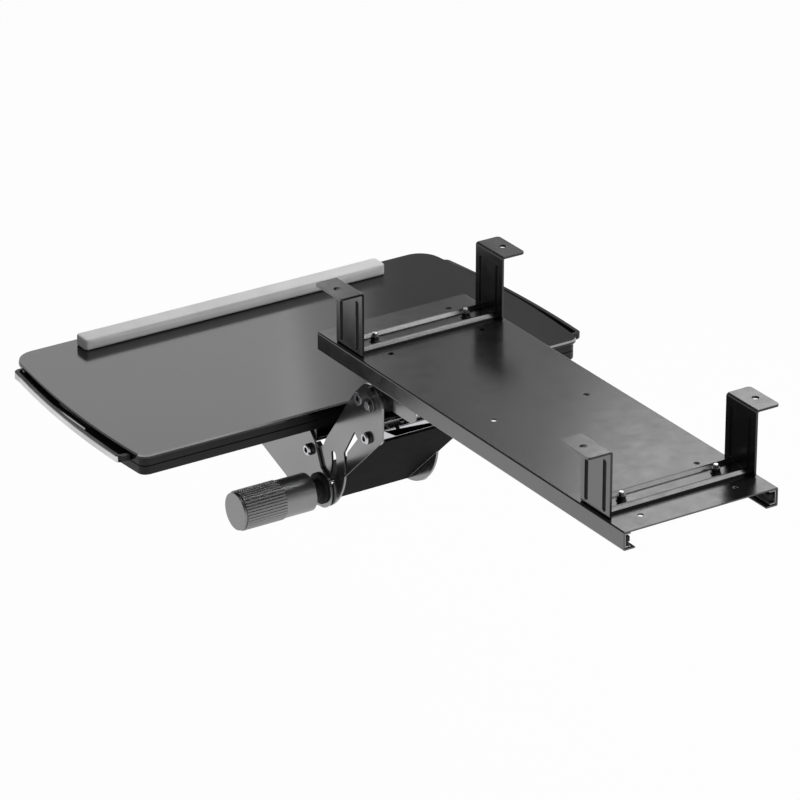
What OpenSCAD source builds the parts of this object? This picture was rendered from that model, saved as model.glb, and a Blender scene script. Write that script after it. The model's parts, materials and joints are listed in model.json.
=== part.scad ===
// Keyboard tray that hangs under a desk on a sliding track.
// Origin: centre of the four desk-screw holes, on the desk face. +X is the user's right,
// +Y points from the user to the back of the desk, +Z is up.
// The arm is drawn in its lowered, ready-to-type position with the tray level.

/* [Desk hangers] */
// Distance from the desk face down to the track plate
desk_drop = 82.5; // [60:0.5:110]
// Distance between the two hangers along the track
hanger_pitch = 508; // [440:1:540]
// Distance between the desk-screw holes of one hanger
desk_hole_pitch = 233; // [226:1:244]
// Diameter of the desk-screw holes
desk_hole_d = 8.5; // [5:0.5:9]
// Thickness of the hanger steel
hanger_t = 3; // [2:0.5:4]
// Width of a hanger leg along the track
leg_w = 57; // [50:1:66]
// Distance across the outer faces of the two legs
leg_span = 200; // [190:1:206]
// How far a desk tab reaches out from its leg
tab_reach = 30; // [26:1:38]
// Width of the strap between the legs
strap_w = 38; // [30:1:44]
// Height of the strap's pressed beads above the track plate
bead_h = 7.4; // [5:0.5:12]
// Width of a pressed bead
bead_w = 8.4; // [6:0.2:10]
// Width of a stiffening groove on a leg
groove_w = 6.6; // [3:0.5:7]
// Depth of a stiffening groove
groove_depth = 1.2; // [0.5:0.1:1.3]
// Distance between the two grooves of a leg
groove_pitch = 34.5; // [26:1:38]

/* [Hanger bolts] */
// Distance between the two bolts of one hanger
bolt_pitch = 129; // [100:1:140]
// Thread diameter of the hanger bolts
bolt_d = 6; // [5:0.5:8]
// Length of thread that shows above the nut
bolt_end = 4.5; // [2:0.5:8]
// Height of the low bolt head under the track plate
bolt_head_h = 2; // [1.5:0.5:3]

/* [Track] */
// Width of the track plate
track_w = 210; // [208:1:230]
// Length of the track plate
track_l = 634; // [600:1:700]
// Thickness of the track sheet
track_t = 2; // [1.5:0.5:3]
// Outer height of the side channels
channel_h = 23; // [22:0.5:30]
// Width of the channels' lower flange
channel_lip = 16; // [14:0.5:20]
// Diameter of the plain holes in the track plate
track_hole_d = 7; // [5:0.5:9]
// Distance from the middle to the inner row of plain holes
track_hole_in = 218; // [200:1:225]
// Distance from the middle to the outer row of plain holes
track_hole_out = 291; // [284:1:295]

/* [Slides] */
// Height of the outer slide member
slide_h = 17; // [16:0.5:18]
// Depth of the outer slide member across the track
slide_depth = 10; // [9:0.5:12]
// Sheet thickness of the slide members
slide_t = 1.5; // [1.2:0.1:1.8]
// Length of the inner slide member
inner_l = 240; // [200:1:260]
// Travel of the carriage along the track
travel = 350; // [300:1:356]
// Diameter of the slide balls
ball_d = 3; // [2.6:0.1:3.2]
// Distance between neighbouring balls
ball_step = 20; // [12:1:24]
// Number of balls in one row
ball_count = 10; // [6:1:12]
// Length of a rubber bumper at the end of a channel
bumper_l = 8; // [5:0.5:10]

/* [Carriage] */
// Thickness of the carriage plate
carriage_t = 3; // [2:0.5:4]
// Length of the carriage plate
carriage_l = 190; // [150:1:220]
// Gap between track plate and carriage plate
carriage_gap = 12.5; // [10:0.5:13]
// Distance across the outer faces of the pivot bracket
bracket_w = 116; // [100:1:118]
// Thickness of the pivot bracket
bracket_t = 3; // [2:0.5:4]
// Distance from the pivot to the back end of the bracket
bracket_back = 82; // [60:1:95]
// Height of the bracket's cheek below the track plate's top
bracket_drop = 80; // [70:1:82]

/* [Lift arm] */
// Distance of the lift pivot behind the track's front end
pivot_back = 58; // [50:1:70]
// Height of the lift pivot below the track plate's top
pivot_drop = 82; // [78:1:95]
// Length of the arm from lift pivot to tilt pivot
arm_l = 171; // [165:1:190]
// Angle of the arm below level
arm_angle = 40; // [38:1:44]
// Distance across the outer faces of the arm's cheeks
arm_w = 136; // [132:1:150]
// Thickness of the arm's sheet
arm_t = 3; // [2:0.5:4]
// Radius of the sector around the tilt pivot
sector_r = 73.5; // [68:0.5:75]
// Radius of the arc slot around the tilt pivot
slot_r = 49; // [46:0.5:50]
// Angle of the web's slope
web_angle = 43.5; // [42:0.5:45]
// Diameter of the lift pivot shaft
shaft_d = 10; // [8:0.5:12]
// Diameter of the stop tube
stop_tube_d = 16; // [12:1:17]
// Bore of the stop tube
stop_tube_bore = 7.5; // [5:0.5:9]

/* [Lift springs] */
// Wire diameter of a torsion spring
wire_d = 2.6; // [2:0.1:3]
// Mean diameter of a spring coil
coil_d = 21; // [19:0.5:22]
// Number of turns of one spring
coil_turns = 6; // [4:1:7]
// Gap between neighbouring turns
coil_gap = 0.9; // [0.5:0.1:1.5]

/* [Tilt head] */
// Thickness of the tilt bracket
head_t = 3; // [2:0.5:4]
// Gap between arm cheek and tilt bracket, filled by a washer
head_gap = 1; // [0.8:0.1:1.5]
// Length of the tilt bracket in front of the tilt pivot
head_l = 178; // [150:1:220]
// Height of the tilt bracket's top above the tilt pivot
head_rise = 15; // [14:0.5:20]
// Radius of the tilt bracket's lobe around the clamp rod
clamp_lobe_r = 25; // [22:1:28]
// Height of the black mount frame under the tray
mount_h = 15.5; // [12:0.5:20]
// Length of the mount frame
mount_l = 170; // [140:1:200]
// Diameter of the round bolt heads
button_d = 15; // [13:0.5:17]
// Height of the round bolt heads
button_h = 6; // [4:0.5:7]
// Diameter of the tilt bolts and arm bolts
button_bolt_d = 8; // [6:0.5:9]

/* [Clamp knob] */
// Diameter of the clamp rod
rod_d = 9; // [8:0.5:9.5]
// Angle of the clamp rod below the tilt pivot
rod_angle = 62; // [60:1:66]
// Diameter of the knob
knob_d = 50; // [40:1:52]
// Length of the fluted grip
grip_l = 60; // [45:1:70]
// Length of the smooth collar
collar_l = 42; // [30:1:50]
// Length of the tapered inner end of the collar
knob_taper = 6; // [4:0.5:8]
// Distance from the tilt bracket to the knob
knob_gap = 13; // [10:0.5:18]
// Number of flutes around the grip
flutes = 40; // [24:1:48]

/* [Tray] */
// How far the tray's back edge lies behind the tilt pivot
tray_over = 14.5; // [10:0.5:16]
// Depth of the tray from back edge to user's edge
tray_depth = 338.5; // [300:1:360]
// Width of the tray along its back edge
tray_back_w = 631; // [600:1:650]
// Width of the tray along the user's edge
tray_front_w = 608; // [580:1:640]
// How far each side of the tray bows out
tray_bow = 11; // [5:0.5:16]
// Corner radius at the back edge
back_corner = 14; // [8:1:30]
// Corner radius at the user's edge
front_corner = 30; // [20:1:45]
// Thickness of the top board
board_t = 6; // [4:0.5:9]
// Thickness of the upper frame
frame_t = 10.5; // [8:0.5:14]
// Thickness of the ribbed base
base_t = 11.5; // [9:0.5:14]
// How far the frame stands back under the board's edge
frame_inset = 3; // [1:0.5:5]

/* [Side rails] */
// How far a side rail reaches out beyond the tray's back corner
rail_reach = 21.5; // [18:0.5:28]
// Sagitta of a rail over its half length
rail_sag = 8; // [4:0.5:12]
// Length of a side rail
rail_l = 270; // [220:1:280]
// Distance of the rail's back end from the tray's back edge
rail_start = 31; // [26:1:45]
// Distance of the rail's widest point from the tray's back edge
rail_peak = 90; // [70:1:130]
// Height of the rail
rail_h = 8.4; // [6:0.2:10]
// Width of the rail's top
rail_w = 6; // [3:0.5:7]
// Height step from the board's top down to the rail
rail_step = 4.8; // [2:0.2:5]
// Length of the slot in a gutter's floor
gutter_slot_l = 80; // [40:1:120]

/* [Wrist pad] */
// Length of the wrist pad
pad_l = 439; // [300:1:480]
// Depth of the wrist pad
pad_w = 26.5; // [20:0.5:40]
// Height of the wrist pad
pad_h = 16; // [10:0.5:20]
// Distance from the pad to the user's edge
pad_edge = 13.5; // [8:0.5:40]

/* [Hidden] */
$fn = 48;
// Named clearances
run_fit = 0.05;
bolt_fit = 0.25;
slide_gap = 0.3;
soft_gap = 0.3;
eps = 0.01;

// Track
plate_z = -desk_drop;
track_front = -track_l / 2;
wall_in = track_w / 2 - track_t;
lip_top_z = plate_z - channel_h + track_t;
slide_z = (plate_z - track_t + lip_top_z) / 2;

// Grooves: radius of the round bottom, and the shallower depth on the inner face
groove_r = (groove_w * groove_w / 4 + groove_depth * groove_depth) / (2 * groove_depth);
inner_groove = groove_depth * 0.75;

// Small fasteners
rivet_d = 4;
nut_h = bolt_d * 0.85;
nut_flange_h = 1.2;
nut_top = plate_z + hanger_t + nut_flange_h + nut_h;

// Slides: ball rows above and below the middle of the slide
race_z = slide_h / 2 - slide_t - slide_gap - ball_d / 2 + 0.2;
inner_half = race_z - ball_d / 2 - slide_gap;
ball_x = wall_in - slide_depth / 2 - 0.5;
inner_web_x = wall_in - slide_depth;
slide_front = track_front + bumper_l + 3;
slide_back = track_l / 2 - bumper_l - 3;
inner_front = slide_front + 1;
cage_l = (ball_count + 0.4) * ball_step - ball_step / 2;
cage_mid = inner_front + inner_l / 2 + travel / 4;

// Carriage
carriage_top = plate_z - track_t - carriage_gap;
carriage_bot = carriage_top - carriage_t;
carriage_front = inner_front + 6;
carriage_flange_x = inner_web_x - slide_t;

// Arm, drawn in the side view (y, z)
pivot = [track_front + pivot_back, plate_z - pivot_drop];
tilt = pivot - arm_l * [cos(arm_angle), sin(arm_angle)];
rod = tilt + slot_r * [cos(rod_angle), -sin(rod_angle)];
cheek_x = arm_w / 2;
arm_top_r = 26.3;
arm_hub_r = 11;
stop_pos = pivot + [-27.7, -2.8];
stop_lobe_r = stop_tube_d / 2 + 1.2;
web_dir = [cos(web_angle), sin(web_angle)];
web_normal = [sin(web_angle), -cos(web_angle)];
web_off = slot_r + rod_d / 2 + 0.7 + arm_t;
web_foot = tilt + web_off * web_normal;
web_half = sqrt(sector_r * sector_r - web_off * web_off);
web_end = web_foot - web_half * web_dir;
arm_back = pivot[0] + arm_top_r;
web_top = web_foot + (arm_back - web_foot[0]) / web_dir[0] * web_dir;
spring_over_web = 24.1;
spring_y = pivot[0] - 5.4;
spring_pos = [spring_y,
    web_foot[1] + (spring_y - web_foot[0]) / web_dir[0] * web_dir[1] + spring_over_web];
slot_from = -rod_angle - 22;
slot_to = 12;
slot_w = rod_d + 1.5;

// Carriage and lift pivot
inner_edge_x = carriage_flange_x;
bracket_front = pivot[0] - 12;
bracket_rear = pivot[0] + bracket_back;
bracket_lobe_r = 14;
bracket_bolt_d = 6;
bracket_bolt_x = bracket_w / 2 - 22;
bush_d = shaft_d + 3;
bush_end = cheek_x + 1.2;
clip_x = bush_end + soft_gap;
clip_slot = 1.4;
clip_groove_d = shaft_d - 1.6;
shaft_half = clip_x + clip_slot + 2.5;

// Details of the arm
arm_scale = arm_l / 171;
stop_bolt_pos = pivot + [4.3, 19.5];
stop_bolt_d = 5;
coil_pitch = wire_d + coil_gap;
spring_tube_gap = 0.2;
spring_tube_d = (coil_d - wire_d) * cos(22.5) - 2 * spring_tube_gap;
spring_x = 45;
spring_leg = 27.5;
spring_rise = 26;

// Tilt head
head_in = cheek_x + head_gap;
head_out = head_in + head_t;
head_top = tilt[1] + head_rise;
head_heel = tilt + [-22, -sector_r - 3];
head_knee = tilt + [-58, -58];
mount_top = head_top + mount_h;
mount_t = 3;
mount_w = 2 * head_in;
mount_screw_d = 5;
mount_screw_x = 40;
tray_screw_x = 58;
nut_gap = 0.3;
clamp_nut_t = 8;

// Knob
knob_x = head_out + knob_gap;
knob_end = knob_x + knob_taper + collar_l + grip_l;
cap_t = 4;
insert_d = rod_d + 6;
insert_end = knob_x + knob_taper + collar_l;

// Tray, stacked up from the mount frame
tray_back = tilt[0] + tray_over;
tray_edge = tray_back - tray_depth;
mount_back = tray_back - 4;
mount_front = mount_back - mount_l;
frame_bot = mount_top + base_t;
board_bot = frame_bot + frame_t;
tray_top = board_bot + board_t;
rail_top = tray_top - rail_step;
rail_back = tray_back - rail_start;
rail_floor_t = 2.5;
rail_half_l = 150;
rail_span = tray_back_w + 2 * rail_reach;
rail_r = (rail_half_l * rail_half_l + rail_sag * rail_sag) / (2 * rail_sag);
rail_end_r = 8;
rail_c = [rail_span / 2 - rail_r, tray_back - rail_peak];
rib_t = 2.5;
pad_y = tray_edge + pad_edge + pad_w / 2;
pad_round = 5;
pad_edge_r = 2.2;

// Points on an arc about a centre
function arc_points(c, r, from, to, n) =
    [for (i = [0:n]) c + r * [cos(from + (to - from) * i / n), sin(from + (to - from) * i / n)]];

// Angle of the outer tangent's normal, from the small circle's centre to the large one's
function tangent_angle(c_small, r_small, c_large, r_large) =
    let (d = c_large - c_small)
    atan2(d[1], d[0]) + 90 + asin((r_large - r_small) / norm(d));

// Direction of a line in degrees
function heading(from, to) = atan2(to[1] - from[1], to[0] - from[0]);

// Plate drawn in the side view, from x0 with thickness t
module side_plate(x0, t) {
    translate([x0, 0, 0])
        rotate([90, 0, 90])
        linear_extrude(t) children();
}

// Round bar along X at a side-view point
module bar_x(p, d, x0, x1) {
    translate([x0, p[0], p[1]])
        rotate([0, 90, 0])
        cylinder(d = d, h = x1 - x0);
}

// Same part on both sides of the middle plane
module both_sides() {
    children();
    mirror([1, 0, 0]) children();
}

// Straight extrusion along Y of an x-z outline
module profile_y(y0, len) {
    translate([0, y0 + len, 0])
        rotate([90, 0, 0])
        linear_extrude(len) children();
}

// Round-bottomed groove along Z with tapered ends
module groove(z0, z1) {
    rotate_extrude($fn = 32)
        polygon([[0, z0 - groove_r], [groove_r * 0.7, z0 - groove_r * 0.7], [groove_r, z0],
            [groove_r, z1], [groove_r * 0.7, z1 + groove_r * 0.7], [0, z1 + groove_r]]);
}

// Track

module channel_outline() {
    lip_in = track_w / 2 - channel_lip;
    difference() {
        translate([lip_in, plate_z - channel_h]) square([channel_lip, channel_h]);
        translate([lip_in - 1, lip_top_z]) square([channel_lip - track_t + 1, channel_h - 2 * track_t]);
        translate([track_w / 2 - track_t, plate_z - track_t]) corner_cut();
        translate([track_w / 2 - track_t, plate_z - channel_h + track_t]) mirror([0, 1]) corner_cut();
    }
}

// Takes the square outer corner of a fold away, leaving a round one
module corner_cut() {
    difference() {
        square(track_t + 1);
        circle(r = track_t);
    }
}

module track_plate() {
    color([0.17, 0.17, 0.18])
    difference() {
        union() {
            both_sides() profile_y(track_front, track_l) channel_outline();
            translate([-track_w / 2 + channel_lip, track_front, plate_z - track_t])
                cube([track_w - 2 * channel_lip, track_l, track_t]);
        }
        for (y = [-track_hole_out, -track_hole_in, 0, track_hole_in, track_hole_out])
            track_hole_pair(y, track_hole_d);
        for (y = [-hanger_pitch / 2, hanger_pitch / 2])
            track_hole_pair(y, bolt_d + 2 * bolt_fit);
    }
}

module track_hole_pair(y, d) {
    for (x = [-bolt_pitch / 2, bolt_pitch / 2])
        translate([x, y, plate_z - track_t - 1]) cylinder(d = d, h = track_t + 2);
}

// Hangers

module hanger(y) {
    translate([0, y, 0])
    difference() {
        union() {
            strap();
            both_sides() leg();
        }
        for (x = [-bolt_pitch / 2, bolt_pitch / 2])
            translate([x, 0, plate_z - 1]) cylinder(d = bolt_d + 2 * bolt_fit, h = hanger_t + 2);
        for (x = [-desk_hole_pitch / 2, desk_hole_pitch / 2])
            translate([x, 0, -hanger_t - 1]) cylinder(d = desk_hole_d, h = hanger_t + 2);
    }
}

module strap() {
    half = leg_span / 2;
    translate([-half, -strap_w / 2, plate_z]) cube([2 * half, strap_w, hanger_t]);
    for (s = [-1, 1])
        side_plate(-half, 2 * half) bead_outline(s * (strap_w - bead_w) / 2);
}

// Bead on the strap with sloping sides and a round crest, its middle at y
module bead_outline(y) {
    rise = bead_h - hanger_t;
    foot = plate_z + hanger_t;
    half = bead_w / 2;
    slope = atan(rise / half) + 6;
    crest_r = (half * sin(slope) - rise * cos(slope)) / (1 - cos(slope));
    polygon(concat(
        [for (i = [-4:4])
            [y - crest_r * sin(i * slope / 4), foot + rise - crest_r * (1 - cos(i * slope / 4))]],
        [[y - half, foot], [y - half, foot - hanger_t / 2],
            [y + half, foot - hanger_t / 2], [y + half, foot]]));
}

module leg() {
    outer = leg_span / 2;
    groove_low = plate_z + 8;
    groove_high = -16;
    difference() {
        translate([outer - hanger_t, -leg_w / 2, plate_z]) cube([hanger_t, leg_w, desk_drop]);
        for (y = [-groove_pitch / 2, groove_pitch / 2]) {
            translate([outer - groove_depth + groove_r, y, 0]) groove(groove_low, groove_high);
            translate([outer - hanger_t + inner_groove - groove_r, y, 0]) groove(groove_low, groove_high);
        }
    }
    tab_corner = 4.5;
    translate([outer - hanger_t, 0, -hanger_t])
    linear_extrude(hanger_t)
    union() {
        translate([0, -leg_w / 2]) square([tab_reach + hanger_t - tab_corner, leg_w]);
        translate([0, -leg_w / 2 + tab_corner]) square([tab_reach + hanger_t, leg_w - 2 * tab_corner]);
        for (s = [-1, 1])
            translate([tab_reach + hanger_t - tab_corner, s * (leg_w / 2 - tab_corner)])
                circle(r = tab_corner);
    }
}

module front_hanger() {
    color([0.17, 0.17, 0.18]) hanger(-hanger_pitch / 2);
}

module rear_hanger() {
    color([0.17, 0.17, 0.18]) hanger(hanger_pitch / 2);
}

module at_hanger_bolts() {
    for (x = [-bolt_pitch / 2, bolt_pitch / 2], y = [-hanger_pitch / 2, hanger_pitch / 2])
        translate([x, y, 0]) children();
}

module hanger_bolts() {
    color([0.75, 0.75, 0.76])
    at_hanger_bolts() {
        under = plate_z - track_t;
        translate([0, 0, under]) cylinder(d = bolt_d, h = nut_top + bolt_end - under - 0.6);
        translate([0, 0, nut_top + bolt_end - 0.6]) cylinder(d1 = bolt_d, d2 = bolt_d - 1.4, h = 0.6);
        translate([0, 0, under - bolt_head_h])
            cylinder(d1 = bolt_d * 1.5, d2 = bolt_d * 2.2, h = bolt_head_h);
    }
}

module hanger_nuts() {
    color([0.2, 0.2, 0.2])
    at_hanger_bolts()
        translate([0, 0, plate_z + hanger_t])
        difference() {
            union() {
                cylinder(d = bolt_d * 2.1, h = nut_flange_h);
                translate([0, 0, nut_flange_h]) cylinder(d = bolt_d * 1.85, h = nut_h, $fn = 6);
            }
            translate([0, 0, -1]) cylinder(d = bolt_d + 2 * run_fit, h = nut_h + 4);
        }
}

// Slides

module slide_outer_outline() {
    half = slide_h / 2;
    translate([0, slide_z])
    difference() {
        translate([wall_in - slide_depth + slide_t, -half]) square([slide_depth - slide_t, slide_h]);
        translate([wall_in - slide_depth, -half + slide_t])
            square([slide_depth - slide_t, slide_h - 2 * slide_t]);
        for (s = [-1, 1]) translate([ball_x, s * race_z]) circle(d = ball_d + 2 * slide_gap);
    }
}

module slide_outer() {
    difference() {
        profile_y(track_front + 1, track_l - 2) slide_outer_outline();
        for (y = rivet_rows())
            bar_x([y, slide_z], rivet_d + 2 * run_fit, wall_in - slide_t - 1, wall_in + 1);
    }
}

function rivet_rows() = [for (i = [-2:2]) i * (track_l / 2 - 40) / 2];

module slide_outer_right() {
    color([0.72, 0.73, 0.75]) slide_outer();
}

module slide_outer_left() {
    color([0.72, 0.73, 0.75]) mirror([1, 0, 0]) slide_outer();
}

module slide_rivets() {
    color([0.6, 0.6, 0.62])
    both_sides()
        for (y = rivet_rows()) {
            bar_x([y, slide_z], rivet_d, wall_in - slide_t, wall_in);
            bar_x([y, slide_z], rivet_d + 2, wall_in - slide_t - 0.8, wall_in - slide_t);
        }
}

module bumper_block(y) {
    translate([wall_in - slide_depth + 1, y, slide_z - inner_half])
        cube([slide_depth - slide_t - 1, bumper_l, 2 * inner_half]);
}

module front_bumpers() {
    color([0.1, 0.1, 0.1]) both_sides() bumper_block(track_front + 3);
}

module rear_bumpers() {
    color([0.1, 0.1, 0.1]) both_sides() bumper_block(track_l / 2 - 3 - bumper_l);
}

module slide_inner() {
    web_in = inner_web_x - slide_t;
    flange_l = ball_x + ball_d / 2 - web_in;
    difference() {
        profile_y(inner_front, inner_l)
        translate([0, slide_z])
        difference() {
            translate([web_in, -inner_half]) square([flange_l, 2 * inner_half]);
            translate([inner_web_x, -inner_half + slide_t])
                square([flange_l, 2 * (inner_half - slide_t)]);
        }
        for (y = carriage_rivet_rows())
            bar_x([y, slide_z], rivet_d + 2 * run_fit, web_in - 1, inner_web_x + 1);
    }
}

function carriage_rivet_rows() = [for (i = [0:3]) carriage_front + 15 + i * (carriage_l - 30) / 3];

module slide_inner_right() {
    color([0.72, 0.73, 0.75]) slide_inner();
}

module slide_inner_left() {
    color([0.72, 0.73, 0.75]) mirror([1, 0, 0]) slide_inner();
}

// Cage: a thin strip between the ball rows with an eye round each ball
module ball_cage() {
    strip_t = 0.8;
    eye = ball_d + 2 * run_fit;
    ledge_t = race_z - inner_half - slide_gap;
    ledge_x = ball_x - ball_d / 2 - 0.8;
    strip_x = ball_x + ball_d / 2 + 2 * slide_gap;
    difference() {
        union() {
            translate([strip_x, cage_mid - cage_l / 2, slide_z - race_z])
                cube([strip_t, cage_l, 2 * race_z]);
            for (s = [-1, 1])
                translate([ledge_x, cage_mid - cage_l / 2, slide_z + s * race_z - ledge_t / 2])
                    cube([strip_x - ledge_x + eps, cage_l, ledge_t]);
        }
        for (s = [-1, 1], y = ball_rows())
            translate([ball_x, y, slide_z + s * race_z - ball_d]) cylinder(d = eye, h = 2 * ball_d);
    }
}

function ball_rows() = [for (i = [0:ball_count - 1]) cage_mid + (i - (ball_count - 1) / 2) * ball_step];

module ball_cage_right() {
    color([0.85, 0.85, 0.82]) ball_cage();
}

module ball_cage_left() {
    color([0.85, 0.85, 0.82]) mirror([1, 0, 0]) ball_cage();
}

module slide_balls() {
    color([0.8, 0.8, 0.82])
    both_sides()
        for (s = [-1, 1], y = ball_rows())
            translate([ball_x, y, slide_z + s * race_z]) sphere(d = ball_d, $fn = 24);
}

// Carriage

module carriage_plate() {
    flange_top = slide_z + inner_half;
    color([0.5, 0.5, 0.51])
    difference() {
        union() {
            translate([-inner_edge_x, carriage_front, carriage_bot])
                cube([2 * inner_edge_x, carriage_l, carriage_t]);
            both_sides()
                translate([inner_edge_x - carriage_t, carriage_front, carriage_bot])
                    cube([carriage_t, carriage_l, flange_top - carriage_bot]);
        }
        at_bracket_bolts() cylinder(d = bracket_bolt_d + 2 * run_fit, h = 40, center = true);
        both_sides()
            for (y = carriage_rivet_rows())
                bar_x([y, slide_z], rivet_d + 2 * run_fit, inner_edge_x - carriage_t - 1, inner_edge_x + 1);
    }
}

module carriage_rivets() {
    color([0.6, 0.6, 0.62])
    both_sides()
        for (y = carriage_rivet_rows()) {
            bar_x([y, slide_z], rivet_d, inner_edge_x - carriage_t, inner_web_x);
            bar_x([y, slide_z], rivet_d + 2, inner_edge_x - carriage_t - 1, inner_edge_x - carriage_t);
            bar_x([y, slide_z], rivet_d - 0.2, inner_web_x, inner_web_x + 0.6);
        }
}

module at_bracket_bolts() {
    for (x = [-bracket_bolt_x, bracket_bolt_x], y = [bracket_front + 14, bracket_rear - 14])
        translate([x, y, carriage_bot]) children();
}

module pivot_bracket_outline() {
    low = plate_z - bracket_drop;
    polygon(concat(
        [[bracket_front, carriage_bot], [bracket_front, pivot[1]]],
        arc_points(pivot, bracket_lobe_r, 180, 330, 12),
        [[pivot[0] + 22, low], [bracket_rear - 9, low],
            [bracket_rear, low + 7], [bracket_rear, carriage_bot]]));
}

module pivot_bracket() {
    half = bracket_w / 2;
    color([0.55, 0.56, 0.57])
    difference() {
        union() {
            both_sides() side_plate(half - bracket_t, bracket_t) pivot_bracket_outline();
            translate([-half, bracket_front, carriage_bot - bracket_t])
                cube([2 * half, bracket_rear - bracket_front, bracket_t]);
        }
        bar_x(pivot, shaft_d + 2 * run_fit, -half - 1, half + 1);
        at_bracket_bolts() cylinder(d = bracket_bolt_d + 2 * run_fit, h = 40, center = true);
    }
}

module bracket_bolts() {
    nut_h = bracket_bolt_d * 0.83;
    color([0.7, 0.7, 0.72])
    at_bracket_bolts() {
        translate([0, 0, -bracket_t]) cylinder(d = bracket_bolt_d, h = bracket_t + carriage_t);
        translate([0, 0, carriage_t])
            cylinder(d1 = bracket_bolt_d * 2, d2 = bracket_bolt_d * 1.4, h = bracket_bolt_d / 2);
        translate([0, 0, -bracket_t - nut_h]) cylinder(d = bracket_bolt_d * 1.85, h = nut_h, $fn = 6);
        translate([0, 0, -bracket_t - 1.3 * nut_h]) cylinder(d = bracket_bolt_d, h = 0.5 * nut_h);
    }
}

// Lift pivot

module pivot_shaft() {
    color([0.62, 0.63, 0.65])
    difference() {
        bar_x(pivot, shaft_d, -shaft_half, shaft_half);
        both_sides()
            difference() {
                bar_x(pivot, shaft_d + 2, clip_x, clip_x + clip_slot);
                bar_x(pivot, clip_groove_d, clip_x - 1, clip_x + clip_slot + 1);
            }
    }
}

module pivot_clips() {
    color([0.25, 0.25, 0.26])
    both_sides()
        difference() {
            bar_x(pivot, shaft_d * 1.75, clip_x + 0.1, clip_x + clip_slot - 0.1);
            bar_x(pivot, clip_groove_d + 2 * run_fit, clip_x - 1, clip_x + clip_slot + 1);
            translate([clip_x - 1, pivot[0] - clip_groove_d * 0.35, pivot[1] - shaft_d])
                cube([clip_slot + 2, clip_groove_d * 0.7, shaft_d]);
        }
}

module pivot_bushings() {
    color([0.82, 0.8, 0.74])
    both_sides()
        difference() {
            union() {
                bar_x(pivot, bush_d, cheek_x - arm_t - 1, bush_end);
                bar_x(pivot, bush_d + 6, bracket_w / 2 + soft_gap, cheek_x - arm_t);
                bar_x(pivot, bush_d + 4, cheek_x, bush_end);
            }
            bar_x(pivot, shaft_d + 2 * run_fit, bracket_w / 2 - 1, bush_end + 1);
        }
}

// Lift arm

module sector_slot() {
    polygon(concat(
        arc_points(tilt, slot_r + slot_w / 2, slot_from, slot_to, 16),
        arc_points(slot_end(slot_to), slot_w / 2, slot_to, slot_to + 180, 8),
        arc_points(tilt, slot_r - slot_w / 2, slot_to, slot_from, 16),
        arc_points(slot_end(slot_from), slot_w / 2, slot_from + 180, slot_from + 360, 8)));
}

function slot_end(a) = tilt + slot_r * [cos(a), sin(a)];

// Point on the outer face of the web, at a given place along Y
function web_point(y) = web_foot + (y - web_foot[0]) / web_dir[0] * web_dir;

module cheek_outline() {
    waist = pivot + arm_scale * [-46, -11.6];
    knee = pivot + arm_scale * [-100.6, -84.7];
    heel = tilt + [24, 14];
    top_angle = tangent_angle(stop_pos, stop_lobe_r, pivot, arm_top_r);
    waist_angle = heading(stop_pos, waist) + 360 - acos(stop_lobe_r / norm(waist - stop_pos));
    sector_half = acos(web_off / sector_r);
    foot_angle = web_angle - 90 - sector_half;
    hub_angle = foot_angle + 360 - acos(arm_hub_r / sector_r);
    polygon(concat(
        arc_points(tilt, sector_r, foot_angle, web_angle - 90 + sector_half, 18),
        [web_point(arm_back - 6), [arm_back, web_top[1] + 0.5]],
        arc_points(pivot, arm_top_r, 0, top_angle, 16),
        arc_points(stop_pos, stop_lobe_r, top_angle, waist_angle, 3),
        [waist, knee, heel],
        arc_points(tilt, arm_hub_r, 28, hub_angle, 12)));
}

module cheek_window() {
    edge_r = sector_r + 0.5;
    polygon(concat(
        [pivot + arm_scale * [-36, -50], pivot + arm_scale * [-28.7, -56.8],
            pivot + arm_scale * [-52, -84], pivot + arm_scale * [-54.5, -113]],
        arc_points(tilt, edge_r, -4, 17, 6)));
}

module lift_arm() {
    color([0.17, 0.17, 0.18])
    difference() {
        union() {
            both_sides()
                side_plate(cheek_x - arm_t, arm_t)
                difference() {
                    cheek_outline();
                    cheek_window();
                    sector_slot();
                }
            side_plate(-cheek_x + arm_t - eps, 2 * (cheek_x - arm_t + eps))
                polygon([web_end, web_top, web_top - arm_t * web_normal, web_end - arm_t * web_normal]);
        }
        bar_x(pivot, bush_d + 2 * run_fit, -cheek_x - 1, cheek_x + 1);
        bar_x(tilt, button_bolt_d + 2 * run_fit, -cheek_x - 1, cheek_x + 1);
        bar_x(spring_pos, button_bolt_d + 2 * run_fit, -cheek_x - 1, cheek_x + 1);
        bar_x(stop_pos, stop_tube_d + 2 * run_fit, -cheek_x - 1, cheek_x + 1);
        bar_x(stop_bolt_pos, stop_bolt_d + 2 * run_fit, -cheek_x - 1, cheek_x + 1);
    }
}

module stop_tube() {
    color([0.3, 0.3, 0.31])
    difference() {
        bar_x(stop_pos, stop_tube_d, -cheek_x - 1, cheek_x + 1);
        bar_x(stop_pos, stop_tube_bore, -cheek_x - 2, cheek_x + 2);
    }
}

module stop_bolts() {
    color([0.15, 0.15, 0.15])
    both_sides() {
        bar_x(stop_bolt_pos, stop_bolt_d, cheek_x - arm_t - 4, cheek_x);
        bar_x(stop_bolt_pos, stop_bolt_d * 2.4, cheek_x, cheek_x + 4);
        translate([cheek_x - arm_t - 3.5, stop_bolt_pos[0], stop_bolt_pos[1]])
            rotate([0, 90, 0]) cylinder(d = stop_bolt_d * 1.9, h = 3.5, $fn = 6);
    }
}

module spring_tube() {
    inner = cheek_x - arm_t;
    color([0.25, 0.25, 0.26])
    difference() {
        bar_x(spring_pos, spring_tube_d, -inner, inner);
        bar_x(spring_pos, button_bolt_d + 2 * run_fit, -inner - 1, inner + 1);
    }
}

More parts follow.
